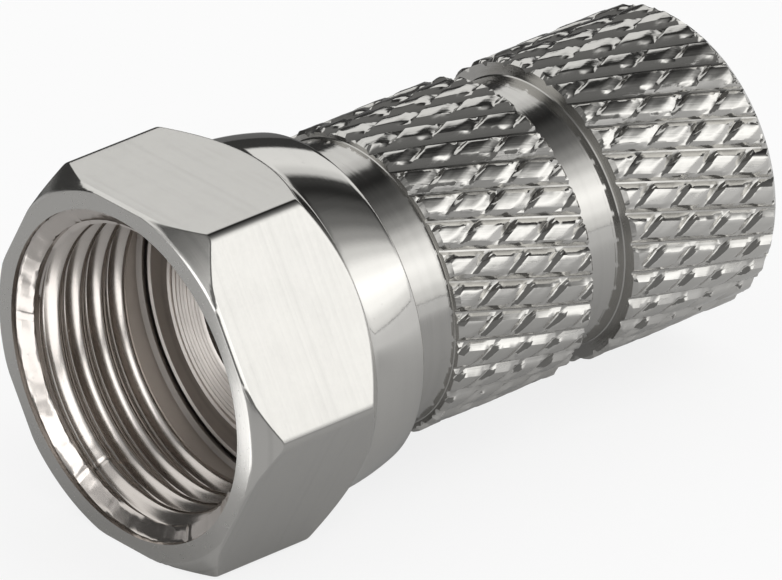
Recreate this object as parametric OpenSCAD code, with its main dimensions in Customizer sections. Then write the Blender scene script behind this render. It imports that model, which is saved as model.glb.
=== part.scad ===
// F connector, screw-on plug for round coaxial cable.
// A hexagonal coupling nut turns freely on a knurled body. Lengths are in millimetres.
// The common axis is +X: the mating face is at x = 0 and the cable end is at the far +X end.

/* [Coupling nut] */
// Width of the nut across its flats
nut_across_flats = 11.0; // [10.6:0.1:11.6]
// Distance from the front face to where the sharp corners start
nut_front_chamfer = 0.75; // [0.6:0.05:0.9]
// Distance from the front face to where the sharp corners end
nut_corner_end = 3.95; // [3.4:0.05:4.2]
// Overall length of the nut
nut_length = 6.95; // [6.8:0.05:7.2]
// Width of the flat front rim, between the thread's lead-in and the middle of a flat
front_rim_width = 0.45; // [0.35:0.01:0.6]
// Wall between the recess and the middle of a flat
recess_wall = 0.5; // [0.4:0.01:0.55]
// Wall of the rounded shoulder where it leaves the hexagon
shoulder_wall_front = 0.42; // [0.35:0.01:0.45]
// Wall of the rounded shoulder half way along
shoulder_wall_middle = 0.33; // [0.28:0.01:0.36]
// Wall of the rounded shoulder at its rear lip
shoulder_wall_rear = 0.12; // [0.1:0.01:0.2]
// Rounding of the rear lip's edge
rear_lip_chamfer = 0.08; // [0.04:0.01:0.15]

/* [Nut thread] */
// Minor diameter of the 3/8-32 female thread
thread_minor_diameter = 8.78; // [8.7:0.01:8.84]
// Depth of the threaded length, measured from the front face
thread_depth = 3.75; // [3.2:0.05:4.0]
// Depth of the plain counterbore in front of the thread's lead-in cone
thread_mouth_step = 0.18; // [0.1:0.01:0.3]
// Length of the steep lead-in cone along the axis
thread_mouth_depth = 0.24; // [0.15:0.01:0.5]
// Pitch of the thread
thread_pitch = 0.794; // [0.75:0.001:0.84]
// Depth of the thread's grooves, on the radius
thread_groove_depth = 0.34; // [0.28:0.01:0.38]
// Width of the thread's grooves at the crests
thread_groove_width = 0.39; // [0.3:0.01:0.45]
// Distance from the front face to the bottom of the last groove
thread_last_groove = 3.21; // [2.9:0.01:3.4]

/* [Body front] */
// Distance from the front face of the nut to the body's seating face
seat_position = 4.8; // [4.6:0.05:4.9]
// Thickness of the body's front flange
flange_thickness = 0.95; // [0.7:0.05:1.0]
// Height of the flange above the collar, which keeps the nut on
flange_lip = 0.49; // [0.4:0.01:0.55]
// Width of the bevel round the seating face, on the radius
seat_bevel_width = 0.74; // [0.6:0.01:0.85]
// Depth of the bevel round the seating face
seat_bevel_depth = 0.2; // [0.1:0.05:0.3]
// Chamfer on the rear edge of the flange
flange_chamfer = 0.1; // [0.05:0.01:0.15]
// Diameter of the hole for the cable's insulation
insulation_hole_diameter = 5.0; // [4.7:0.05:5.4]
// Length from the seating face to the end of the insulation hole
insulation_hole_length = 1.3; // [1.0:0.05:1.6]
// Widening of the insulation hole's countersunk mouth, on the radius
insulation_mouth_flare = 0.8; // [0.5:0.05:0.9]
// Depth of the insulation hole's countersunk mouth
insulation_mouth_depth = 0.45; // [0.2:0.05:0.6]

/* [Body outside] */
// Length of the smooth collar between the nut and the first knurled band
collar_length = 1.75; // [1.4:0.05:2.2]
// Length of the first knurled band
band_1_length = 5.1; // [4.6:0.05:5.3]
// Length of the smooth groove between the knurled bands
groove_length = 1.55; // [1.3:0.05:1.8]
// Depth of the smooth groove below the collar
groove_drop = 0.23; // [0.1:0.01:0.3]
// Length of the second knurled band
band_2_length = 5.6; // [5.0:0.05:6.0]

/* [Knurl] */
// Height of the knurl's lands above the collar
knurl_rise = 0.3; // [0.25:0.01:0.4]
// Number of grooves in each of the two crossing families
knurl_count = 30; // [24:1:30]
// Rise of the deep grooves round the body, in degrees for each millimetre of length
deep_groove_rate = 3.81; // [2.5:0.01:4.5]
// Depth of the deep grooves
deep_groove_depth = 0.24; // [0.15:0.01:0.26]
// Half the width of a deep groove, in degrees round the body
deep_groove_half_width = 2.9; // [2.0:0.1:3.2]
// Fall of the shallow grooves round the body, in degrees for each millimetre of length
shallow_groove_rate = 5.85; // [4.5:0.01:7.0]
// Depth of the shallow grooves
shallow_groove_depth = 0.1; // [0.05:0.01:0.14]
// Width of a shallow groove's gentle side, in degrees round the body
shallow_gentle_width = 3.9; // [3.0:0.1:4.2]
// Width of a shallow groove's steep side, in degrees round the body
shallow_steep_width = 1.7; // [1.2:0.1:2.2]
// Chamfer at the ends of the knurled bands
knurl_end_chamfer = 0.12; // [0.06:0.01:0.2]
// Chamfer of the rear rim, where the second band ends
rear_rim_chamfer = 0.28; // [0.2:0.01:0.35]

/* [Cable bore] */
// Wall of the body between the cable bore and the smooth groove
body_wall = 0.67; // [0.55:0.01:0.9]
// Depth of the flared mouth of the cable bore
jacket_mouth_depth = 0.4; // [0.2:0.05:0.6]
// Widening of the flared mouth of the cable bore, on the radius
jacket_mouth_flare = 0.4; // [0.2:0.05:0.6]
// Length of the coarse thread that screws on to the cable, from the cable end
cable_thread_length = 14.0; // [12:0.1:14.3]
// Pitch of the coarse thread
cable_thread_pitch = 1.25; // [1.1:0.05:1.5]
// Depth of the coarse thread's grooves, on the radius
cable_groove_depth = 0.26; // [0.2:0.01:0.3]
// Width of the coarse thread's grooves at the crests
cable_groove_width = 0.75; // [0.6:0.05:0.85]

/* [Running fit] */
// Radial gap between the flange and the nut's recess
flange_side_gap = 0.16; // [0.1:0.01:0.25]
// Radial gap between the nut's rear opening and the collar
collar_clearance = 0.07; // [0.04:0.01:0.1]
// Gap along the axis between the flange and the nut's inner shoulder
flange_clearance = 0.1; // [0.05:0.01:0.15]

/* [Hidden] */

$fn = 128;
eps = 0.01;
full_turn = 360;
quarter_turn = full_turn / 4;
hex_sides = 6;
hex_step = full_turn / hex_sides;

// Coupling nut
nut_flat_radius = nut_across_flats / 2;
nut_corner_radius = nut_flat_radius / cos(hex_step / 2);
front_face_radius = nut_corner_radius - nut_front_chamfer;
recess_radius = nut_flat_radius - recess_wall;
shoulder_radius_front = recess_radius + shoulder_wall_front;
shoulder_radius_middle = recess_radius + shoulder_wall_middle;
shoulder_radius_rear = recess_radius + shoulder_wall_rear;
shoulder_start = nut_corner_end + nut_corner_radius - shoulder_radius_front;
thread_minor_radius = thread_minor_diameter / 2;
thread_mouth_radius = nut_flat_radius - front_rim_width;
thread_cone_middle = thread_mouth_step + thread_mouth_depth / 2;
thread_groove_count = floor((thread_last_groove - thread_cone_middle) / thread_pitch) + 1;
recess_end = seat_position + flange_thickness + flange_clearance;

// Body, whose flange turns in the recess and whose collar carries the nut's rear opening
flange_radius = recess_radius - flange_side_gap;
seat_face_radius = flange_radius - seat_bevel_width;
seat_hole_radius = insulation_hole_diameter / 2;
collar_radius = flange_radius - flange_lip;
rear_opening_radius = collar_radius + collar_clearance;
groove_radius = collar_radius - groove_drop;
knurl_radius = collar_radius + knurl_rise;
jacket_bore_radius = groove_radius - body_wall;
insulation_hole_end = seat_position + insulation_hole_length;
band_1_start = nut_length + collar_length;
band_1_end = band_1_start + band_1_length;
band_2_start = band_1_end + groove_length;
body_end = band_2_start + band_2_length;
flange_end = seat_position + flange_thickness;
core_overlap = 0.1;
cable_last_groove = body_end - jacket_mouth_depth - cable_thread_pitch / 2;
cable_thread_room = cable_last_groove - cable_groove_width / 2 - (body_end - cable_thread_length);
cable_groove_count = floor(cable_thread_room / cable_thread_pitch) + 1;

// Knurl: both groove families pass through the reference section at these angles
knurl_pitch = full_turn / knurl_count;
knurl_reference = 18.2;
deep_groove_start = 237.2;
shallow_groove_start = 233.6;
crossing_rate = deep_groove_rate + shallow_groove_rate;
crossing_spacing = knurl_pitch / crossing_rate;
notch_reach = deep_groove_half_width * (1 - shallow_groove_depth / deep_groove_depth);
band_sides = 60;

// A point at radius r and angle a
function polar(r, a) = [r * cos(a), r * sin(a)];

// The shoulder's outline is an arc through three points, given as radius at a station
function shoulder_at(x) =
    let (t = (x - shoulder_start) / (nut_length - shoulder_start))
    let (bulge = 4 * (shoulder_radius_middle - (shoulder_radius_front + shoulder_radius_rear) / 2))
    shoulder_radius_front + t * (shoulder_radius_rear - shoulder_radius_front) + bulge * t * (1 - t);

// Everything is turned about Z and then laid along +X
module lay_along_x() {
    rotate([0, quarter_turn, 0])
        children();
}

// The blank that limits the hexagon: two chamfer cones and the rounded shoulder
module nut_envelope() {
    shoulder_step_count = 6;
    shoulder_points = [
        for (i = [0:shoulder_step_count])
            let (x = shoulder_start + (nut_length - rear_lip_chamfer - shoulder_start) * i / shoulder_step_count)
            [shoulder_at(x), x]
    ];
    rotate_extrude()
        polygon(concat(
            [[0, 0], [front_face_radius, 0], [nut_corner_radius, nut_front_chamfer]],
            [[nut_corner_radius, nut_corner_end]],
            shoulder_points,
            [[shoulder_radius_rear - rear_lip_chamfer, nut_length], [0, nut_length]]
        ));
}

// The hexagon reaches back under the shoulder, which then bounds it
module nut_hexagon() {
    rotate([0, 0, hex_step / 2])
        cylinder(r = nut_corner_radius, h = shoulder_start + nut_corner_radius, $fn = hex_sides);
}

// A thread's grooves as closed rings at its pitch. The bottom of the last one is at last
module thread_grooves(crest_radius, depth, width, pitch, last, count) {
    reach = crest_radius - depth;
    for (i = [0:count - 1])
        translate([0, 0, last - i * pitch])
            rotate_extrude()
                polygon([[reach, -width], [crest_radius + depth, 0], [reach, width]]);
}

// The hollow of the nut: lead-in, threaded length, recess and rear opening
module nut_hollow() {
    translate([0, 0, -eps])
        cylinder(r = thread_mouth_radius, h = thread_mouth_step + eps);
    translate([0, 0, thread_mouth_step])
        cylinder(r1 = thread_mouth_radius, r2 = thread_minor_radius, h = thread_mouth_depth);
    thread_grooves(
        thread_minor_radius,
        thread_groove_depth,
        thread_groove_width,
        thread_pitch,
        thread_last_groove,
        thread_groove_count
    );
    translate([0, 0, -eps])
        cylinder(r = thread_minor_radius, h = recess_end);
    translate([0, 0, thread_depth])
        cylinder(r = recess_radius, h = recess_end - thread_depth);
    translate([0, 0, recess_end - eps])
        cylinder(r = rear_opening_radius, h = nut_length);
}

module coupling_nut() {
    color("#c9c9c6")
        lay_along_x()
            difference() {
                intersection() {
                    nut_envelope();
                    nut_hexagon();
                }
                nut_hollow();
            }
}

// The knurl is a lattice: deep groove i meets a shallow groove at crossing k.
// A point offset by da degrees from the deep groove and by db from the shallow one:
function crossing_station(k, da, db) =
    knurl_reference + (shallow_groove_start - deep_groove_start + k * knurl_pitch + db - da) / crossing_rate;

function crossing_point(i, k, da, db, depth) =
    let (x = crossing_station(k, da, db))
    let (a = deep_groove_start + i * knurl_pitch + da + deep_groove_rate * (x - knurl_reference))
    concat(polar(knurl_radius - depth, a), [x]);

// The seven points of one crossing: the deep groove's bottom, then the three points
// where the shallow groove breaks its far edge, then the three on its near edge
function crossing_points(i, k) = [
    crossing_point(i, k, 0, 0, deep_groove_depth),
    crossing_point(i, k, deep_groove_half_width, -shallow_gentle_width, 0),
    crossing_point(i, k, notch_reach, 0, shallow_groove_depth),
    crossing_point(i, k, deep_groove_half_width, shallow_steep_width, 0),
    crossing_point(i, k, -deep_groove_half_width, -shallow_gentle_width, 0),
    crossing_point(i, k, -notch_reach, 0, shallow_groove_depth),
    crossing_point(i, k, -deep_groove_half_width, shallow_steep_width, 0)
];

// Both walls of a deep groove between two crossings, c and d
function wall_faces(c, d) = [
    [c, c + 3, c + 2],
    [c, d + 1, c + 3],
    [c, d, d + 1],
    [d, d + 2, d + 1],
    [c, c + 5, c + 6],
    [c, c + 6, d + 4],
    [c, d + 4, d],
    [d, d + 4, d + 5]
];

// Both sides of a shallow groove where it crosses a land, from crossing c to crossing n
function notch_faces(c, n) = [
    [c + 1, c + 2, n + 5],
    [c + 1, n + 5, n + 4],
    [c + 2, c + 3, n + 6],
    [c + 2, n + 6, n + 5]
];

// The land between two shallow grooves, from crossings c and d to crossings n and m
function land_faces(c, d, n, m) = [
    [c + 3, d + 1, n + 4],
    [c + 3, n + 4, m + 6]
];

// The whole lattice from crossing low to crossing high, closed at both ends by cones
module knurl_lattice(low, high) {
    rows = knurl_count;
    columns = high - low + 1;
    crossing_point_count = 7;
    function at(i, k) = ((k - low) * rows + i % rows) * crossing_point_count;
    points = [for (k = [low:high]) for (i = [0:rows - 1]) each crossing_points(i, k)];
    low_tip = len(points);
    high_tip = low_tip + 1;
    tips = [
        [0, 0, crossing_station(low, 0, 0) - crossing_spacing],
        [0, 0, crossing_station(high, 0, 0) + crossing_spacing]
    ];
    walls = [
        for (k = [low:high - 1]) for (i = [0:rows - 1])
            each wall_faces(at(i, k), at(i, k + 1))
    ];
    notches = [
        for (k = [low + 1:high]) for (i = [0:rows - 1])
            each notch_faces(at(i, k), at(i + 1, k - 1))
    ];
    lands = [
        for (k = [low + 1:high - 1]) for (i = [0:rows - 1])
            each land_faces(at(i, k), at(i, k + 1), at(i + 1, k), at(i + 1, k - 1))
    ];
    low_edge = [
        for (i = [0:rows - 1])
            each [
                at(i, low),
                at(i, low) + 2,
                at(i, low) + 3,
                at(i, low + 1) + 1,
                at(i + 1, low) + 4,
                at(i + 1, low) + 5
            ]
    ];
    high_edge = [
        for (i = [0:rows - 1])
            each [
                at(i, high),
                at(i, high) + 2,
                at(i, high) + 3,
                at(i + 1, high - 1) + 6,
                at(i + 1, high) + 4,
                at(i + 1, high) + 5
            ]
    ];
    edge_count = len(low_edge);
    low_cone = [for (n = [0:edge_count - 1]) [low_tip, low_edge[n], low_edge[(n + 1) % edge_count]]];
    high_cone = [for (n = [0:edge_count - 1]) [high_tip, high_edge[(n + 1) % edge_count], high_edge[n]]];
    polyhedron(concat(points, tips), concat(walls, notches, lands, low_cone, high_cone), convexity = 4);
}

// The blank of a band, chamfered at both ends
module band_blank(start, length, rear_chamfer) {
    spare = 0.05;
    translate([0, 0, start])
        rotate_extrude($fn = band_sides)
            polygon([
                [0, 0],
                [knurl_radius - knurl_end_chamfer, 0],
                [knurl_radius + spare, knurl_end_chamfer + spare],
                [knurl_radius + spare, length - rear_chamfer - spare],
                [knurl_radius - rear_chamfer, length],
                [0, length]
            ]);
}

// One knurled band, from its start to its start plus length along the axis
module knurled_band(start, length, rear_chamfer) {
    first_station = crossing_station(0, 0, 0);
    low = floor((start - first_station) / crossing_spacing) - 2;
    high = ceil((start + length - first_station) / crossing_spacing) + 2;
    resize([0, 0, length])
        intersection() {
            knurl_lattice(low, high);
            band_blank(start, length, rear_chamfer);
        }
}

// Flange, collar and the plain core under the knurled bands
module body_core() {
    rotate_extrude()
        polygon([
            [0, seat_position],
            [seat_face_radius, seat_position],
            [flange_radius, seat_position + seat_bevel_depth],
            [flange_radius, flange_end - flange_chamfer],
            [flange_radius - flange_chamfer, flange_end],
            [collar_radius, flange_end],
            [collar_radius, band_1_start + core_overlap],
            [groove_radius, band_1_start + core_overlap],
            [groove_radius, body_end - core_overlap],
            [0, body_end - core_overlap]
        ]);
}

// The hollow of the body: insulation hole with its countersink, cable bore and flared mouth
module body_hollow() {
    translate([0, 0, seat_position])
        cylinder(
            r1 = seat_hole_radius + insulation_mouth_flare,
            r2 = seat_hole_radius,
            h = insulation_mouth_depth
        );
    translate([0, 0, seat_position - eps])
        cylinder(r = seat_hole_radius, h = insulation_hole_length + core_overlap);
    translate([0, 0, insulation_hole_end])
        cylinder(r = jacket_bore_radius, h = body_end - insulation_hole_end + eps);
    thread_grooves(
        jacket_bore_radius,
        cable_groove_depth,
        cable_groove_width,
        cable_thread_pitch,
        cable_last_groove,
        cable_groove_count
    );
    translate([0, 0, body_end - jacket_mouth_depth])
        cylinder(
            r1 = jacket_bore_radius,
            r2 = jacket_bore_radius + jacket_mouth_flare,
            h = jacket_mouth_depth + eps
        );
}

module knurled_body() {
    color("#b9b8b5")
        lay_along_x()
            difference() {
                union() {
                    body_core();
                    knurled_band(band_1_start, band_1_length, knurl_end_chamfer);
                    knurled_band(band_2_start, band_2_length, rear_rim_chamfer);
                }
                body_hollow();
            }
}

coupling_nut();
knurled_body();
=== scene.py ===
import math

import bmesh
import bpy
import numpy as np
from mathutils import Matrix, Vector


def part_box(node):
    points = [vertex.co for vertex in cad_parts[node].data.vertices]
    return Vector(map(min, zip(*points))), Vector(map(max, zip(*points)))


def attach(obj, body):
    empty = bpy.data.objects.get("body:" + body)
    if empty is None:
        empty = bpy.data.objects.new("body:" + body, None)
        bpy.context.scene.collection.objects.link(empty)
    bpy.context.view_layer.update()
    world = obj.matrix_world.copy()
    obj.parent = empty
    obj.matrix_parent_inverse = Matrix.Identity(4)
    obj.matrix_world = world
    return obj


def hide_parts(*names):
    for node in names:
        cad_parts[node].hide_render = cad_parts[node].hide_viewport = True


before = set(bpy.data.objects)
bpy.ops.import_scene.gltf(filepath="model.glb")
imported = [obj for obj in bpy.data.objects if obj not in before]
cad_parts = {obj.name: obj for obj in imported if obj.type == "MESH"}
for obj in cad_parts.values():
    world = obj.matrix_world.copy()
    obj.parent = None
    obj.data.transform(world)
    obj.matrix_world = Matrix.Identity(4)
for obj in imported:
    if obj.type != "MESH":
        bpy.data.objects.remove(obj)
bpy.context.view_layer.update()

MM = 0.001
rng = np.random.default_rng(11)


# ---------------------------------------------------------------- sizes, in mm, from the CAD frame

def box_mm(node):
    low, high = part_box(node)
    return np.array(low) / MM, np.array(high) / MM


NUT_LOW, NUT_HIGH = box_mm("coupling_nut")
BODY_LOW, BODY_HIGH = box_mm("knurled_body")
NUT_LENGTH = float(NUT_HIGH[0])
BODY_FRONT = float(BODY_LOW[0])
BODY_END = float(BODY_HIGH[0])
HALF_FLATS = -float(NUT_LOW[2])
CORNER = HALF_FLATS / math.cos(math.radians(30))
KNURL = 4.65

# the nut: radii, and distances from the front face
FRONT_CONE = CORNER - 0.75
FRONT_STATIONS_END = 0.18                        # behind it, the stations follow the chamfer's edge
CORNER_END = 3.95                                # where the corners run into the rear bevel
EDGE_HALF_WIDTH = 1.45                           # of a corner's worn edge, in degrees round the axis
HEXAGON_END = 4.87                               # the shoulder begins
SHOULDER = [(4.881, 5.42), (5.9, 5.335), (6.87, 5.12)]
THREAD_MINOR = 4.39
THREAD_ROOT_DEPTH = 0.39
THREAD_END = 3.75
THREAD_PITCH = 0.794
MOUTH = 5.05
MOUTH_STEP, MOUTH_CONE = 0.18, 0.25
FIRST_CREST, FIRST_CREST_END = 4.56, 0.66        # the first crest is cut back
THREAD_CREST = 2.05
RECESS = 5.0
RECESS_NARROW = 4.88                             # a narrower ring in front of the flange
RECESS_END = 5.85
REAR_OPENING = 4.42
CHIPS_AT, CHIPS_SPREAD, CHIPS_END = 305, 14, 1.6   # chipped crests: place and spread in degrees, length in mm
THREAD_TURN = 10                                 # degrees by which both helices are turned back

# the body: where the knurled bands start and end, and radii
BANDS = [(8.7, 13.8), (15.35, BODY_END)]
FLANGE = 4.84
COLLAR = 4.35
GROOVE = 4.12
JACKET_BORE = 3.45
INSULATION_HOLE = 2.52
FLARE = 3.85                                     # of the bore at its mouth
CABLE_PITCH, CABLE_CREST, CABLE_THREAD_DEPTH = 1.25, 12.0, 0.28
CABLE_THREAD_START = 7.6


# ---------------------------------------------------------------- mesh helpers

def smooth_min(a, b, k):
    h = np.maximum(k - np.abs(a - b), 0) / k
    return np.minimum(a, b) - h * h * k / 4


def smooth_max(a, b, k):
    return -smooth_min(-np.asarray(a), -np.asarray(b), k)


def polar(x, r, degrees):
    x, r, t = np.broadcast_arrays(x, r, np.radians(degrees))
    return np.stack([x, r * np.cos(t), r * np.sin(t)], -1).reshape(-1, 3)


class Skin:
    """Collects points in mm and faces with a finish number, and makes one mesh of them."""

    def __init__(self):
        self.points, self.faces, self.finish, self.count = [], [], [], 0

    def add(self, points):
        start = self.count
        self.points.append(np.asarray(points, float))
        self.count += len(points)
        return start

    def face(self, corners, finish):
        self.faces.append(tuple(int(c) for c in corners))
        self.finish.append(finish)

    def strip(self, a, b, finish):
        """Quads between two rows of point numbers of the same length. One finish, or one for each column."""
        n = len(a)
        for i in range(n):
            j = (i + 1) % n
            self.face((a[i], a[j], b[j], b[i]), finish if isinstance(finish, int) else finish[i])

    def zip(self, a, b, finish):
        """Triangles between two closed rows of different length, by their angle about X."""
        p = np.concatenate(self.points)
        angle = lambda q: np.degrees(np.arctan2(p[q, 2], p[q, 1])) % 360
        a, b = np.asarray(a), np.asarray(b)
        a, b = a[np.argsort(angle(a), kind="stable")], b[np.argsort(angle(b), kind="stable")]
        ta, tb = list(angle(a)), list(angle(b))
        ta.append(ta[0] + 360)
        tb.append(tb[0] + 360)
        i = j = 0
        while i < len(a) or j < len(b):
            if j >= len(b) or (i < len(a) and ta[i + 1] <= tb[j + 1]):
                self.face((a[i % len(a)], a[(i + 1) % len(a)], b[j % len(b)]), finish)
                i += 1
            else:
                self.face((a[i % len(a)], b[(j + 1) % len(b)], b[j % len(b)]), finish)
                j += 1

    def build(self, name, materials, sharp):
        mesh = bpy.data.meshes.new(name)
        mesh.from_pydata((np.concatenate(self.points) * MM).tolist(), [], self.faces)
        mesh.polygons.foreach_set("material_index", self.finish)
        for m in materials:
            mesh.materials.append(m)
        bm = bmesh.new()
        bm.from_mesh(mesh)
        bmesh.ops.remove_doubles(bm, verts=bm.verts, dist=2e-7)
        bmesh.ops.dissolve_degenerate(bm, edges=bm.edges, dist=1e-7)
        bmesh.ops.recalc_face_normals(bm, faces=bm.faces)
        bm.to_mesh(mesh)
        bm.free()
        mesh.shade_smooth()
        mesh.set_sharp_from_angle(angle=math.radians(sharp))
        obj = bpy.data.objects.new(name, mesh)
        bpy.context.scene.collection.objects.link(obj)
        return obj


# ---------------------------------------------------------------- shader helpers

class Link:
    """One value in a shader, so that sums can be written as sums."""

    def __init__(self, tree, socket):
        self.tree, self.socket = tree, socket

    def math(self, operation, *others, clamp=False):
        return self.tree.node("ShaderNodeMath", [self, *others], operation=operation, use_clamp=clamp)

    def __add__(self, o): return self.math("ADD", o)
    def __radd__(self, o): return self.math("ADD", o)
    def __sub__(self, o): return self.math("SUBTRACT", o)
    def __rsub__(self, o): return self.tree.node("ShaderNodeMath", [o, self], operation="SUBTRACT")
    def __mul__(self, o): return self.math("MULTIPLY", o)
    def __rmul__(self, o): return self.math("MULTIPLY", o)
    def __truediv__(self, o): return self.math("DIVIDE", o)
    def clamp(self): return self.math("ADD", 0.0, clamp=True)

    def ramp(self, low, high):
        """0 at low, 1 at high, eased."""
        t = ((self - low) / (high - low)).clamp()
        return t * t * (3 - 2 * t)


class Tree:
    """A material's or the world's nodes."""

    def __init__(self, owner):
        owner.use_nodes = True
        self.nodes, self.links = owner.node_tree.nodes, owner.node_tree.links
        self.nodes.clear()

    def node(self, kind, inputs=(), out=0, **settings):
        n = self.nodes.new(kind)
        for key, value in settings.items():
            setattr(n, key, value)
        for key, value in (inputs.items() if isinstance(inputs, dict) else enumerate(inputs)):
            if isinstance(value, Link):
                self.links.new(value.socket, n.inputs[key])
            elif value is not None:
                n.inputs[key].default_value = value
        return Link(self, n.outputs[out]) if len(n.outputs) else None

    def mix(self, factor, a, b):
        n = self.nodes.new("ShaderNodeMix")
        n.data_type = "RGBA"
        for key, value in ((0, factor), (6, a), (7, b)):
            value = grey(value) if key > 0 and isinstance(value, (int, float)) else value
            if isinstance(value, Link):
                self.links.new(value.socket, n.inputs[key])
            else:
                n.inputs[key].default_value = value
        return Link(self, n.outputs[2])

    def place(self):
        """Position on the piece in mm, as the vector, x, and the distance from the axis."""
        at = self.node("ShaderNodeTexCoord", out="Object")
        p = self.node("ShaderNodeVectorMath", [at], operation="SCALE")
        p.socket.node.inputs[3].default_value = 1 / MM
        split = self.node("ShaderNodeSeparateXYZ", [p])
        x, y, z = (Link(self, split.socket.node.outputs[i]) for i in range(3))
        return p, x, y, z, (y * y + z * z).math("SQRT")

    def noise(self, where, scale, detail, rough, dims="3D"):
        inputs = {"Scale": scale, "Detail": detail, "Roughness": rough}
        inputs["W" if dims == "1D" else "Vector"] = where
        return self.node("ShaderNodeTexNoise", inputs, noise_dimensions=dims)


def grey(v):
    return (v, v, v, 1)


NICKEL = (0.66, 0.648, 0.622)
TOOL_MARK_DEPTH = 0.0000045                      # in metres


def nickel(name, tint, rough, lines, line_rate, way="turned", mottle=0.03, painted_shade_radii=None, base=NICKEL):
    """Nickel plating over brass. Lines are the marks of the tool: turned ones run round the axis, ground
    ones cross the flats, and rolled ones follow the deep grooves. Painted shade: the colour darkens
    towards the lower of the two radii, down in the knurl's grooves."""
    ground = way == "ground"
    mat = bpy.data.materials.new(name)
    t = Tree(mat)
    p, x, y, z, r = t.place()
    if way == "rolled":
        along = z.math("ARCTAN2", y) * (180 / math.pi) - DEEP_RATE * x
    else:
        along = x + 0.7 * r if way == "turned" else x
    fine = t.noise(along, line_rate, 3.0, 0.7, "1D")
    broad = t.noise(along, line_rate * (0.4 if ground else 0.21), 1.0, 0.5, "1D")
    patch = t.noise(p, 0.9, 3.0, 0.6)
    grain = t.noise(p, 9.0, 2.0, 0.6)
    spots = t.noise(p, 5.5, 2.0, 0.5).ramp(0.66, 0.78) * (0.0 if ground else 1.0)
    streaks = 0.14 if ground else 0.4 * lines
    shade = 1 - mottle * 2 * (patch - 0.5) - streaks * (broad - 0.5) - 0.05 * spots
    # painted shade: the colour darkens down into the deep grooves, towards the lower of the two radii
    if painted_shade_radii:
        shade = shade * (0.8 + 0.2 * r.ramp(*painted_shade_radii))
    colour = t.mix(shade.clamp(), (0, 0, 0, 1), tuple(c * tint for c in base) + (1,))
    roughness = rough + 0.05 * (patch - 0.5) + 0.06 * (grain - 0.5) + 0.10 * spots
    height = lines * (fine + 0.6 * broad) + 0.10 * grain
    bump = t.node("ShaderNodeBump", {"Strength": 1.0, "Distance": TOOL_MARK_DEPTH, "Height": height})
    shader = t.node("ShaderNodeBsdfPrincipled", {
        "Base Color": colour, "Metallic": 1.0, "Roughness": roughness.clamp(), "Normal": bump})
    t.node("ShaderNodeOutputMaterial", [shader])
    return mat


# ---------------------------------------------------------------- the coupling nut

def hexagon(degrees):
    """Distance from the axis to the hexagon's side, with a hair of rounding at the corners."""
    off = (np.asarray(degrees) % 60) - 30
    near = HALF_FLATS / np.cos(np.radians(off))
    other = HALF_FLATS / np.cos(np.radians(60 - np.abs(off)))
    return smooth_min(near, other, 0.25)


def shoulder_radius(x):
    (xa, ra), (xb, rb), (xc, rc) = SHOULDER
    t = (x - xa) / (xc - xa)
    tb = (xb - xa) / (xc - xa)
    bulge = (rb - ra - tb * (rc - ra)) / (tb * (1 - tb))
    return ra + t * (rc - ra) + bulge * t * (1 - t)


def thread_wall(x, degrees, minor, depth, pitch, crest_x):
    """Radius of a right-hand internal thread: flat crests at the minor radius, straight flanks."""
    s = (x - crest_x) / pitch - (np.asarray(degrees) + THREAD_TURN) / 360
    s = np.abs(s - np.round(s))
    return minor + depth * np.interp(s, [0, .05, .09, .13, .385, .42, .455, .5],
                                     [0, .008, .04, .12, .89, .97, .996, 1])


def helix_rows(columns, low, high, pitch, crest_x, fractions):
    """Stations that follow the helix, held between low and high: rows of x for each column."""
    turns = range(int(math.floor((low - crest_x) / pitch)) - 2, int(math.ceil((high - crest_x) / pitch)) + 2)
    s = np.array([k + f for k in turns for f in fractions])
    x = crest_x + pitch * (s[:, None] + (columns[None, :] + THREAD_TURN) / 360)
    return np.clip(x, low, high)


def add_helix(skin, columns, x_rows, radius, finish, per_turn):
    """A sheet of helical stations round the axis. Returns its rows at both ends."""
    n_rows, n = x_rows.shape
    r = radius(x_rows, columns[None, :])
    start = skin.add(polar(x_rows, r, columns[None, :]))
    number = lambda j, i: start + min(j, n_rows - 1) * n + i
    for j in range(n_rows - 1):
        for i in range(n):
            if i < n - 1:
                quad = (j, i), (j, i + 1), (j + 1, i + 1), (j + 1, i)
                xs = [x_rows[a, b] for a, b in quad]
            else:
                quad = (j, i), (j + per_turn, 0), (j + 1 + per_turn, 0), (j + 1, i)
                xs = [x_rows[min(a, n_rows - 1), b] for a, b in quad]
            if max(xs) - min(xs) < 1e-9:
                continue
            skin.face([number(a, b) for a, b in quad], finish)
    low = [start + i for i in range(n)]
    high = [start + (n_rows - 1) * n + i for i in range(n)]
    return low, high


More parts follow.
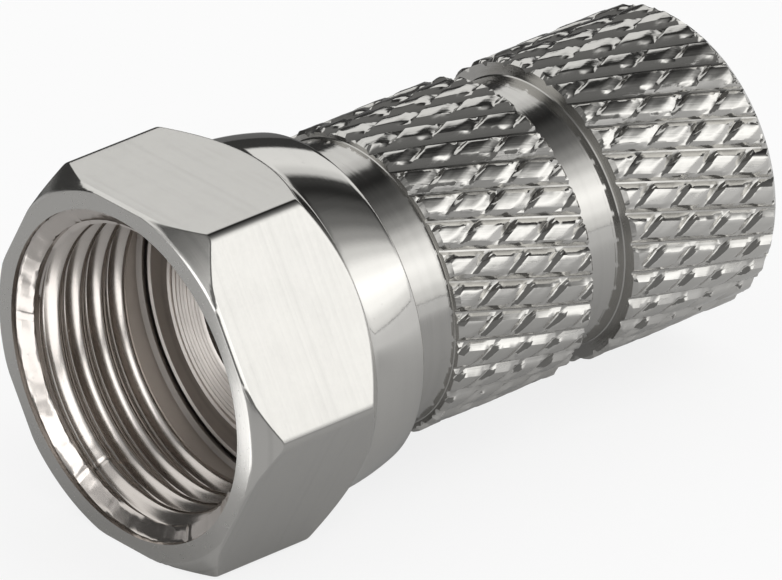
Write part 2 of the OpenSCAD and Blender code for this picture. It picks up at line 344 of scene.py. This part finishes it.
def threaded_coupling_nut(materials):
    FLAT, TURNED, FACE, INSIDE, HOLLOW, CONE, EDGE = range(7)
    step = 2
    columns = list(np.arange(0, 360, step))
    near = [0.2, 0.45, 0.75, 1.05, 1.4, 1.7, 2.0]
    for corner in range(0, 360, 60):
        columns += [corner + s * d for d in near for s in (-1, 1)]
    columns = np.array(sorted(set(round(c % 360, 4) for c in columns)))
    hexed = hexagon(columns)
    skin, rows = Skin(), []

    def station(x, r, finish):
        rows.append((0 * hexed + x, 0 * hexed + r, finish))

    # outside, from the front ring over the flats to the rear face
    front_edge = np.maximum(0, hexed - FRONT_CONE)
    rear_edge = CORNER_END + CORNER - hexed
    start = np.minimum(hexed, FRONT_CONE)
    outer = lambda x: smooth_min(smooth_min(hexed, FRONT_CONE + x, 0.03), CORNER + CORNER_END - x, 0.05)
    station(0, start - 0.05, FACE)
    station(0.012, start - 0.015, FACE)
    for k in (0.045, 0.10, 0.16):
        station(k, outer(k), CONE)
    for k in (-0.06, -0.03, -0.012, 0.012, 0.03, 0.06, 0.12):
        x = np.maximum(FRONT_STATIONS_END, front_edge + k)
        station(x, outer(x), CONE if k < 0 else FLAT)
    low = np.maximum(FRONT_STATIONS_END, front_edge + 0.12)
    high = rear_edge - 0.16
    for k in (0.02, 0.2, 0.4, 0.6, 0.8, 0.98):
        x = low + (high - low) * k
        station(x, outer(x), FLAT)
    for k in (-0.10, -0.05, -0.02, 0.02, 0.05, 0.10):
        x = np.minimum(HEXAGON_END, rear_edge + k)
        station(x, outer(x), FLAT if k < 0 else TURNED)
    for k in np.linspace(0, 1, 5)[1:]:
        low = np.minimum(HEXAGON_END, rear_edge + 0.10)
        x = low + (HEXAGON_END + 0.002 - low) * k
        station(x, outer(x), TURNED)
    for x in np.linspace(4.9, SHOULDER[2][0] - 0.02, 16):
        station(x, shoulder_radius(x), TURNED)
    for x, r in ((6.885, 5.105), (6.93, 5.06), (6.945, 5.035), (NUT_LENGTH, 5.0)):
        station(x, r, TURNED)
    # rear face, rear opening and the recess behind the thread
    for x, r, f in ((NUT_LENGTH, 4.75, FACE), (NUT_LENGTH, 4.47, FACE), (NUT_LENGTH - 0.015, 4.435, FACE),
                    (NUT_LENGTH - 0.05, REAR_OPENING, HOLLOW), (RECESS_END + 0.02, REAR_OPENING, HOLLOW),
                    (RECESS_END, REAR_OPENING + 0.02, HOLLOW), (RECESS_END, RECESS - 0.1, HOLLOW),
                    (RECESS_END - 0.03, RECESS - 0.03, HOLLOW), (RECESS_END - 0.1, RECESS, HOLLOW),
                    (5.2, RECESS, HOLLOW), (4.85, RECESS, HOLLOW), (4.83, RECESS - 0.1, HOLLOW),
                    (4.72, RECESS_NARROW, HOLLOW), (4.6, RECESS, HOLLOW), (4.1, RECESS, HOLLOW),
                    (THREAD_END + 0.12, RECESS, HOLLOW), (THREAD_END + 0.02, RECESS - 0.06, HOLLOW)):
        station(x, r, f)
    numbers = []
    for x, r, f in rows:
        s = skin.add(polar(x, r, columns))
        numbers.append(list(range(s, s + len(columns))))
    # a column's finish is that of the quad after it
    from_corner = np.abs((columns + 0.1 + 30) % 60 - 30)
    flats = [EDGE if d < EDGE_HALF_WIDTH else FLAT for d in from_corner]
    for a, b, (_, _, f) in zip(numbers, numbers[1:], rows[1:]):
        skin.strip(a, b, flats if f == FLAT else f)

    # the 3/8-32 thread and its lead-in
    fractions = [-.5, -.455, -.42, -.385, -.33, -.27, -.20, -.13, -.09, -.05, 0,
                 .05, .09, .13, .20, .27, .33, .385, .42, .455]
    x_rows = helix_rows(columns, 0.0, THREAD_END, THREAD_PITCH, THREAD_CREST, fractions)

    def wall(x, degrees):
        t = np.radians(degrees)
        r = thread_wall(x, degrees, THREAD_MINOR, THREAD_ROOT_DEPTH, THREAD_PITCH, THREAD_CREST)
        ragged = 0.012 * np.sin(t * 41 + x * 9) * np.sin(t * 17) + 0.008 * np.sin(t * 97)
        slope = (MOUTH - FIRST_CREST) / MOUTH_CONE
        lead_in = smooth_min(MOUTH - 0.012, MOUTH + slope * (MOUTH_STEP + ragged - x), 0.03)
        lead_in = np.where(x < FIRST_CREST_END, smooth_max(lead_in, FIRST_CREST, 0.03), THREAD_MINOR)
        chips = 0.03 * np.maximum(0, np.sin(t * 61 + 3 * x) * np.sin(t * 23 + 1)) * (x < CHIPS_END)
        fade = np.exp(-((degrees % 360 - CHIPS_AT) / CHIPS_SPREAD) ** 2)
        return smooth_max(r + chips * fade, lead_in, 0.015)

    low, high = add_helix(skin, columns, x_rows, wall, INSIDE, len(fractions))
    # the ring of the mouth: from the lead-in to the front face
    ring = skin.add(polar(0 * columns, 0 * columns + MOUTH + 0.02, columns))
    ring = list(range(ring, ring + len(columns)))
    skin.strip(low, ring, FACE)
    skin.strip(ring, numbers[0], FACE)
    skin.strip(numbers[-1], high, HOLLOW)
    return skin.build("threaded_coupling_nut", materials, 32)


# ---------------------------------------------------------------- the knurled body

GROOVES = 30                                     # of each family
STEP = 360 / GROOVES                             # degrees between grooves
DEEP_RATE, SHALLOW_RATE = 3.81, 5.85             # degrees for each mm, rising and falling
REFERENCE, DEEP_AT, SHALLOW_AT = 18.2, 147.15, 143.6   # a plane, and where one groove of each crosses it
DEEP_HALF, DEEP_DEPTH, CROWN = 2.9, 0.23, 0.012
GENTLE, STEEP, NOTCH_DEPTH = 3.9, 1.7, 0.1       # widths of the notch's two sides, in degrees
LIP = 0.012                                      # raised along the notch: the crest lies as much lower
WOBBLE_ROWS, GRIT_ROWS, GRIT_COLUMNS = 64, 61, 67      # sizes of the tables of random unevenness
BAND_CHAMFER, REAR_CHAMFER = 0.12, 0.28


def knurl_phase_point(a, b):
    """Place where the deep family's phase is a and the shallow family's is b, in degrees."""
    x = REFERENCE + (SHALLOW_AT - DEEP_AT + b - a) / (DEEP_RATE + SHALLOW_RATE)
    return x, DEEP_AT + a + DEEP_RATE * (x - REFERENCE)


def knurl_depth(a, b, wobble):
    """How far the knurl lies below its crest at phases a and b of one crossing, in mm. The three wobbles
    of a crossing, from -1 to 1, vary the deep groove's width, the notch's depth and its raised lip."""
    a = (a + DEEP_HALF * 1.2) % STEP - DEEP_HALF * 1.2
    b = (b + GENTLE * 1.2) % STEP - GENTLE * 1.2
    half = DEEP_HALF * (1 + 0.10 * wobble[0])
    deep = DEEP_DEPTH * (1 - np.abs(a) / half)
    deep = smooth_min(deep, DEEP_DEPTH - 0.012, 0.03)
    bite = np.clip((7.5 - np.where(a < -1, a + STEP, a)) / 4.5, 0, 1)    # deepest at the land's upper edge
    notch_depth = NOTCH_DEPTH * (1 + 0.2 * wobble[1]) * (0.9 + 0.9 * bite)
    notch = np.where(b < 0, notch_depth * (1 + b / GENTLE), notch_depth * (1 - b / STEEP))
    cut = smooth_max(deep, notch, 0.02)
    cut = smooth_max(cut, 0.0, 0.02)
    # metal pushed up along the edges of the notch, and lands that are rounded across
    lip = LIP * np.exp(-((b - STEEP - 0.35) / 0.45) ** 2) * (0.6 + 0.6 * wobble[2])
    crown = CROWN * np.minimum(1, (((a % STEP) - STEP / 2) / (STEP / 2 - DEEP_HALF)) ** 2)
    return cut - np.where(np.abs(a) > half * 0.9, lip, 0) + crown


def knurled_band(low, high):
    """Sheet of the two crossing groove families between two planes: points, triangles, both edge loops."""
    # stations across one step of each family, in degrees
    sa = np.array([-2.9, -1.7, -0.35, 0.35, 1.7, 2.9, 3.6, 4.7, 6.0, 7.3, 8.4])
    sb = np.array([-3.9, -2.6, -1.3, -0.3, 0.25, 1.0, 1.7, 2.3, 3.4, 4.7, 6.0, 7.2])
    na, nb = len(sa), len(sb)
    rate = DEEP_RATE + SHALLOW_RATE
    k_low = math.floor(((low - REFERENCE) * rate - (SHALLOW_AT - DEEP_AT)) / STEP) - 2
    k_high = math.ceil(((high - REFERENCE) * rate - (SHALLOW_AT - DEEP_AT)) / STEP) + 2
    points, index, faces = [], {}, []

    def number(p, q):
        turns, p = divmod(p, GROOVES * na)
        q = q - turns * GROOVES * nb
        key = (p, q)
        if key not in index:
            i, j = divmod(p, na)
            m, n = divmod(q, nb)
            w = wobble[i, (m - i) % WOBBLE_ROWS]
            a, b = STEP * i + sa[j], STEP * m + sb[n]
            x, t = knurl_phase_point(a, b)
            d = knurl_depth(sa[j], sb[n], w)
            d += 0.004 * grit[p % GRIT_ROWS, q % GRIT_COLUMNS] * (1 if abs(sa[j]) > 2 else 0.4)
            index[key] = len(points)
            points.append((x, KNURL - LIP - float(d), t))
        return index[key]

    wobble = rng.uniform(-1, 1, (GROOVES, WOBBLE_ROWS, 3))
    grit = rng.uniform(-1, 1, (GRIT_ROWS, GRIT_COLUMNS))
    for i in range(GROOVES):
        for k in range(k_low, k_high):
            m = i + k                       # shallow groove m crosses deep groove i at lattice step k
            for j in range(na):
                for n in range(nb):
                    p, q = i * na + j, m * nb + n
                    c = number(p, q), number(p + 1, q), number(p + 1, q + 1), number(p, q + 1)
                    d02 = abs(points[c[0]][1] - points[c[2]][1])
                    d13 = abs(points[c[1]][1] - points[c[3]][1])
                    if d02 < d13:
                        faces += [(c[0], c[1], c[2]), (c[0], c[2], c[3])]
                    else:
                        faces += [(c[0], c[1], c[3]), (c[1], c[2], c[3])]
    data = np.array(points)
    mesh = bpy.data.meshes.new("band")
    mesh.from_pydata(polar(data[:, 0], data[:, 1], data[:, 2]).tolist(), [], faces)
    bm = bmesh.new()
    bm.from_mesh(mesh)
    bpy.data.meshes.remove(mesh)
    chamfer_low = BAND_CHAMFER
    chamfer_high = REAR_CHAMFER if high > BODY_END - 0.01 else BAND_CHAMFER

    def cut(x, clear_below=False, clear_above=False):
        bmesh.ops.bisect_plane(bm, geom=bm.verts[:] + bm.edges[:] + bm.faces[:], dist=1e-6,
                               plane_co=(x, 0, 0), plane_no=(1, 0, 0),
                               clear_inner=clear_below, clear_outer=clear_above)

    cut(low, clear_below=True)
    cut(high, clear_above=True)
    cut(low + chamfer_low)
    cut(high - chamfer_high)
    for v in bm.verts:
        x, y, z = v.co
        r = math.hypot(y, z)
        limit = min(KNURL - chamfer_low + max(0, x - low), KNURL - chamfer_high + max(0, high - x), KNURL)
        if r > limit:
            v.co = (x, y * limit / r, z * limit / r)
    bm.verts.ensure_lookup_table()
    bm.verts.index_update()
    p = np.array([v.co for v in bm.verts])
    f = [tuple(v.index for v in face.verts) for face in bm.faces]
    rim = lambda x: [v.index for v in bm.verts if v.is_boundary and abs(v.co.x - x) < 1e-4]
    rims = rim(low), rim(high)
    bm.free()
    return p, f, rims


def cross_knurled_body(materials):
    KNURLED, TURNED, SEAT, BORE, FACE = range(5)
    n = 200
    columns = np.arange(n) * 360.0 / n
    skin = Skin()

    def rings(stations):
        """Rings at (x, r, finish), joined in turn. Returns the first and last."""
        rows = []
        for x, r, f in stations:
            s = skin.add(polar(x, r, columns))
            rows.append(list(range(s, s + n)))
        for a, b, (_, _, f) in zip(rows, rows[1:], stations[1:]):
            skin.strip(a, b, f)
        return rows[0], rows[-1]

    # insulation hole, countersink, seat face, bevel, flange and collar
    hole_end = BODY_FRONT + 1.3
    front = [(hole_end, INSULATION_HOLE, BORE), (BODY_FRONT + 0.6, INSULATION_HOLE, BORE),
             (BODY_FRONT + 0.2, INSULATION_HOLE + 0.03, BORE)]
    for k, r in enumerate((2.66, 2.78, 2.92, 3.04, 3.19, 3.31, 3.45, 3.62, 3.86)):       # the tool's rings
        deep = BODY_FRONT + max(0.0, 0.13 - 0.02 * k)
        front += [(deep + 0.055, r - 0.075, SEAT), (deep, r - 0.015, SEAT), (deep, r, SEAT)]
    front += [(BODY_FRONT, 4.06, SEAT), (BODY_FRONT + 0.02, 4.2, SEAT), (BODY_FRONT + 0.04, 4.62, SEAT),
             (BODY_FRONT + 0.08, 4.68, SEAT), (BODY_FRONT + 0.02, 4.74, SEAT), (BODY_FRONT + 0.04, 4.8, SEAT),
             (BODY_FRONT + 0.08, FLANGE, SEAT), (BODY_FRONT + 0.85, FLANGE, TURNED),
             (BODY_FRONT + 0.95, FLANGE - 0.1, TURNED), (BODY_FRONT + 0.95, 4.40, TURNED),
             (BODY_FRONT + 0.98, COLLAR, TURNED), (6.6, COLLAR, TURNED), (7.2, COLLAR, TURNED),
             (7.8, COLLAR, TURNED), (8.4, COLLAR, TURNED), (8.62, COLLAR, TURNED),
             (8.68, COLLAR + 0.01, TURNED), (BANDS[0][0], COLLAR + 0.04, TURNED)]
    hole_rim, collar_end = rings(front)
    groove = [(BANDS[0][1], GROOVE + 0.04, TURNED), (BANDS[0][1] + 0.03, GROOVE + 0.01, TURNED),
              (BANDS[0][1] + 0.1, GROOVE, TURNED), (14.2, GROOVE, TURNED), (14.6, GROOVE - 0.015, TURNED),
              (15.0, GROOVE, TURNED), (BANDS[1][0] - 0.1, GROOVE, TURNED),
              (BANDS[1][0] - 0.03, GROOVE + 0.01, TURNED), (BANDS[1][0], GROOVE + 0.04, TURNED)]
    groove_start, groove_end = rings(groove)
    rear = [(BODY_END, 4.33, FACE), (BODY_END, 3.9, FACE), (BODY_END - 0.02, FLARE, BORE)]
    rear_rim, flare = rings(rear)

    # cable bore with its coarse right-hand thread
    fractions = [-.5, -.40, -.30, -.20, -.10, 0, .10, .20, .30, .40]
    bore_low, bore_high = hole_end, BODY_END - 0.02
    x_rows = helix_rows(columns, bore_low, bore_high, CABLE_PITCH, CABLE_CREST, fractions)

    def bore(x, degrees):
        s = (x - CABLE_CREST) / CABLE_PITCH - (degrees + THREAD_TURN) / 360
        s = np.abs(s - np.round(s))
        r = JACKET_BORE + CABLE_THREAD_DEPTH * np.interp(s, [0, .18, .22, .38, .42, .5], [0, 0, .1, .9, 1, 1])
        r = np.where(x < CABLE_THREAD_START, JACKET_BORE, r)
        return smooth_max(r, FLARE - (bore_high - x), 0.03)

    low, high = add_helix(skin, columns, x_rows, bore, BORE, len(fractions))
    skin.strip(low, hole_rim, BORE)
    skin.strip(high, flare, BORE)

    for (x0, x1), (before, after) in zip(BANDS, ((collar_end, groove_start), (groove_end, rear_rim))):
        p, f, (rim_low, rim_high) = knurled_band(x0, x1)
        s = skin.add(p)
        for face in f:
            skin.face([s + c for c in face], KNURLED)
        skin.zip([s + c for c in rim_low], before, FACE)
        skin.zip([s + c for c in rim_high], after, FACE)
    return skin.build("cross_knurled_body", materials, 28)


# ---------------------------------------------------------------- pieces and finishes

WARM = (0.655, 0.612, 0.575)
nut_materials = [
    nickel("nut flats, ground nickel", 0.92, 0.24, 0.6, 7.0, "ground", 0.03),
    nickel("nut shoulder, turned nickel", 1.0, 0.06, 0.12, 12.0),
    nickel("nut end faces, turned nickel", 0.9, 0.26, 0.9, 16.0),
    nickel("nut thread, bright nickel", 1.0, 0.18, 0.25, 10.0, base=WARM),
    nickel("nut recess, turned nickel", 1.0, 0.45, 0.8, 9.0, base=WARM),
    nickel("nut chamfers, turned nickel", 1.0, 0.16, 0.6, 14.0),
    nickel("nut corners, worn bright", 0.9, 0.05, 0.0, 6.0, "ground", 0.0),
]
body_materials = [
    # the knurl's colour has painted shade in its deep grooves, darkest below 4.40 mm from the axis
    nickel("knurl, bright nickel over rolled brass", 0.93, 0.09, 0.45, 1.1, "rolled", painted_shade_radii=(4.40, 4.56)),
    nickel("collar and groove, turned nickel", 0.84, 0.08, 0.7, 9.0),
    # painted light: the tint of 1.1 lightens the seat beyond the plating's own colour, where it lies in shade
    # inside the nut
    nickel("seat face, turned nickel, painted lighter", 1.1, 0.38, 1.6, 12.0, mottle=0.2, base=WARM),
    nickel("bores, nickel", 0.7, 0.25, 0.4, 8.0, base=WARM),
    nickel("body end faces, turned nickel", 0.85, 0.22, 0.8, 14.0),
]
nut = threaded_coupling_nut(nut_materials)
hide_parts("coupling_nut")
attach(nut, "nut")
body = cross_knurled_body(body_materials)
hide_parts("knurled_body")
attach(body, "body")


# ---------------------------------------------------------------- the studio

def emitter(name, colour, strength):
    mat = bpy.data.materials.new(name)
    t = Tree(mat)
    shader = t.node("ShaderNodeEmission", {"Color": colour, "Strength": strength})
    t.node("ShaderNodeOutputMaterial", [shader])
    return mat


def stage_mesh(name, points, faces, material):
    mesh = bpy.data.meshes.new(name)
    mesh.from_pydata([tuple(map(float, p)) for p in points], [], faces)
    mesh.materials.append(material)
    obj = bpy.data.objects.new(name, mesh)
    bpy.context.scene.collection.objects.link(obj)
    return obj


def tent(name, radius, x_range, ramp):
    """Part of a light tent round the X axis, seen only in reflections: ramp gives degrees about X,
    from +Y over the top, and the brightness there."""
    mat = bpy.data.materials.new(name)
    t = Tree(mat)
    at = t.node("ShaderNodeTexCoord", out="Object")
    split = t.node("ShaderNodeSeparateXYZ", [at])
    x, y, z = (Link(t, split.socket.node.outputs[i]) for i in range(3))
    turn = z.math("ARCTAN2", y) * (180 / math.pi)
    value = None
    for (a, va), (b, vb) in zip(ramp, ramp[1:]):
        step = turn.ramp(a, b) * (vb - va)
        value = step + (ramp[0][1] if value is None else value)
    # the softbox stands beyond the far end: the camera's own side is dim, and the near end is lighter again
    over = turn.ramp(66, 80)
    value = t.mix(over * x.ramp(0.48, 0.26), value, 0.19)
    value = t.mix(over * x.ramp(-0.5, -1.1), value, t.mix(turn.ramp(80, 125), 0.24, 0.9))
    colour = t.node("ShaderNodeVectorMath", {0: (1, 1, 0.99), 3: value}, operation="SCALE")
    shader = t.node("ShaderNodeEmission", {"Color": colour, "Strength": 1.0})
    t.node("ShaderNodeOutputMaterial", [shader])
    degrees = np.radians(np.linspace(ramp[0][0], ramp[-1][0], 97))
    ring = [(radius * math.cos(d), radius * math.sin(d)) for d in degrees]
    points = [(x, y, z) for y, z in ring for x in x_range]
    faces = [(2 * i, 2 * i + 1, 2 * i + 3, 2 * i + 2) for i in range(len(ring) - 1)]
    obj = stage_mesh(name, points, faces, mat)
    obj.visible_camera = obj.visible_diffuse = obj.visible_shadow = False
    obj.visible_transmission = obj.visible_volume_scatter = False


FLOOR_Z = float(min(NUT_LOW[2], BODY_LOW[2])) * MM
floor_material = bpy.data.materials.new("pale floor")
t = Tree(floor_material)
path = t.node("ShaderNodeLightPath", out="Is Camera Ray")
glossy = Link(t, path.socket.node.outputs["Is Glossy Ray"])
_, x, y, _, _ = t.place()
# painted light and shade on the floor, seen only in the metal's reflections: lighter beyond the cable end,
# darker on the camera's side, and almost black behind the plug
beyond = x.ramp(15, 40)
painted_floor_shading = 0.43 + 0.27 * beyond - 0.18 * y.ramp(-10, -45) * (1 - beyond)
painted_floor_shading = painted_floor_shading * (1 - 0.9 * y.ramp(15, 30) * x.ramp(0, 8))
# the floor is 0.8 for other rays; its painted light and shade show only to glossy rays
tone = t.mix(glossy, grey(0.8), t.mix(painted_floor_shading, grey(0.0), grey(1.0)))
matt = t.node("ShaderNodeBsdfPrincipled", {"Base Color": tone, "Roughness": 1.0, "Specular IOR Level": 0.0})
white = t.node("ShaderNodeEmission", {"Color": grey(1.0), "Strength": 1.0})
shader = t.node("ShaderNodeMixShader", {0: path * 0.82 + glossy * 0.08, 1: matt, 2: white})
t.node("ShaderNodeOutputMaterial", [shader])
half = 4.0                                       # of the floor's side, in metres
stage_mesh("floor", [(-half, -half, FLOOR_Z), (half, -half, FLOOR_Z), (half, half, FLOOR_Z),
                     (-half, half, FLOOR_Z)], [(0, 1, 2, 3)], floor_material)

RING = [(-2, 0.045), (20, 0.05), (25, 0.95), (46, 1.0), (57, 0.8), (65, 0.06), (76, 0.03), (90, 0.10),
        (104, 0.20), (116, 0.42), (128, 0.90), (140, 1.40), (152, 1.70), (164, 1.45), (174, 1.05), (184, 0.7)]
tent("light tent", 0.9, (-1.3, 4.5), RING)


def disc(name, x, radius, strength):
    points = [(x, radius * math.cos(a), radius * math.sin(a)) for a in np.linspace(0, 2 * math.pi, 65)[:-1]]
    obj = stage_mesh(name, points, [tuple(range(64))], emitter(name, (1, 1, 1, 1), strength))
    obj.visible_camera = obj.visible_diffuse = obj.visible_shadow = False
    return obj


disc("front wall", -1.29, 0.89, 0.55)
disc("front card", -1.28, 0.56, 2.0)
disc("rear card", 4.45, 0.89, 0.8)
# painted light: a glowing strip on the floor, seen only in reflections, for the lit floor in front of the nut
corners = [(-0.050, -0.008), (-0.0062, -0.008), (-0.0062, 0.005), (-0.050, 0.005)]
strip = stage_mesh("painted floor light strip", [(x, y, FLOOR_Z + 0.0001) for x, y in corners], [(0, 1, 2, 3)],
                   emitter("painted floor light", (1, 1, 1, 1), 1.8))
strip.visible_camera = strip.visible_diffuse = strip.visible_shadow = False

world = bpy.data.worlds.new("studio")
bpy.context.scene.world = world
t = Tree(world)
path = t.node("ShaderNodeLightPath", out="Is Camera Ray")
seen = (path + Link(t, path.socket.node.outputs["Is Glossy Ray"])
        + Link(t, path.socket.node.outputs["Is Transmission Ray"])).clamp()
shader = t.node("ShaderNodeBackground", {"Color": t.mix(seen, grey(0.85), grey(1.0)), "Strength": 1.0})
t.node("ShaderNodeOutputWorld", [shader])


def softbox(name, direction, distance, size, power):
    light = bpy.data.lights.new(name, "AREA")
    light.shape, light.size, light.energy = "DISK", size, power
    obj = bpy.data.objects.new(name, light)
    bpy.context.scene.collection.objects.link(obj)
    d = Vector(direction).normalized()
    obj.location = CENTRE + d * distance
    obj.rotation_euler = d.to_track_quat("Z", "Y").to_euler()
    obj.visible_camera = obj.visible_glossy = False


CENTRE = Vector(((NUT_LOW[0] + BODY_END) / 2 * MM, 0, 0))
softbox("key softbox", (0.57, -0.64, 0.9), 0.6, 0.45, 1.0)


# ---------------------------------------------------------------- camera

bpy.context.scene.view_settings.view_transform = "Standard"
camera_data = bpy.data.cameras.new("camera")
camera = bpy.data.objects.new("camera", camera_data)
bpy.context.scene.collection.objects.link(camera)
back = Vector((-0.56928856, -0.67997191, 0.46211333))
right = Vector((0.76088091, -0.64866554, -0.0171247))
up = Vector((0.31140131, 0.34186431, 0.88665552))
aim = CENTRE + Vector((9.9641094 - (NUT_LOW[0] + BODY_END) / 2, -0.03584049, -0.68211559)) * MM
axes = Matrix((right, up, back)).transposed().to_4x4()
distance = 0.46122961
camera.matrix_world = Matrix.Translation(aim + back.normalized() * distance) @ axes
camera_data.lens, camera_data.sensor_width = 736.58, 36.0
camera_data.clip_start, camera_data.clip_end = 0.01, 20.0
bpy.context.scene.camera = camera
